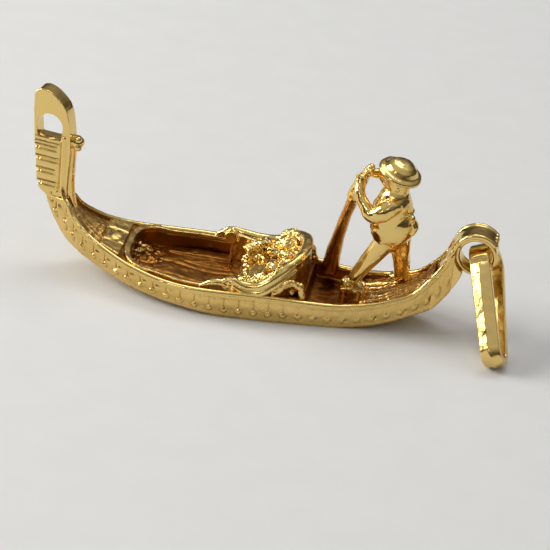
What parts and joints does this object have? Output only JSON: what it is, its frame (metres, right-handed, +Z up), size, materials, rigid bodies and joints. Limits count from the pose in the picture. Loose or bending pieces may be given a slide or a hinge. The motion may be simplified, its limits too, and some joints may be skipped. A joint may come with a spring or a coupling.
{
  "type": "charm",
  "caption": "Small gold gondola charm with a boater-hatted gondolier, oar, cushioned settee, prow iron, and a strap bail swinging on the stern ring",
  "frame": {"origin": "Centre of the flat under the hull, on the table plane: on the boat's own centre line, 16 mm aft of the foremost point of the prow iron", "axes": "-X is the bow and +X the stern, +Z up, -Y is port (the side the gondolier's near arm is on)"},
  "size_m": [0.034, 0.0095, 0.0127],
  "materials": {
    "gold_polished": "polished",
    "gold_cast": "cast, lightly polished"
  },
  "bodies": {
    "charm": {"cockpit_coaming": "gold_polished", "cockpit_floor": "gold_cast", "foot_block": "gold_cast", "fore_deck": "gold_cast", "fore_deck_step": "gold_cast", "gondolier_chest": "gold_cast", "gondolier_front_leg": "gold_cast", "gondolier_hat": "gold_polished", "gondolier_head": "gold_polished", "gondolier_port_arm": "gold_cast", "gondolier_rear_leg": "gold_cast", "gondolier_sash": "gold_cast", "gondolier_starboard_arm": "gold_cast", "gondolier_tunic": "gold_cast", "gunwale_port": "gold_polished", "gunwale_starboard": "gold_polished", "hull": "gold_cast", "oar": "gold_polished", "prow_iron": "gold_polished", "scroll_bracket_port": "gold_cast", "scroll_bracket_starboard": "gold_cast", "settee_arm_port": "gold_cast", "settee_arm_starboard": "gold_cast", "settee_back": "gold_cast", "settee_bolster": "gold_cast", "settee_rosette": "gold_cast", "settee_seat": "gold_cast", "settee_valance": "gold_cast", "stern_deck": "gold_cast", "stern_ring": "gold_polished", "strake_beads": "gold_cast", "tail_scroll": "gold_polished"},
    "bail_loop": {"bail": "gold_polished"}
  },
  "joints": [
    {"name": "bail_swing", "type": "hinge", "parent": "charm", "child": "bail_loop", "pos_m": [0.01445, 0, 0.00605], "axis": [0, -1, 0], "range_deg": [-38, 120]}
  ]
}
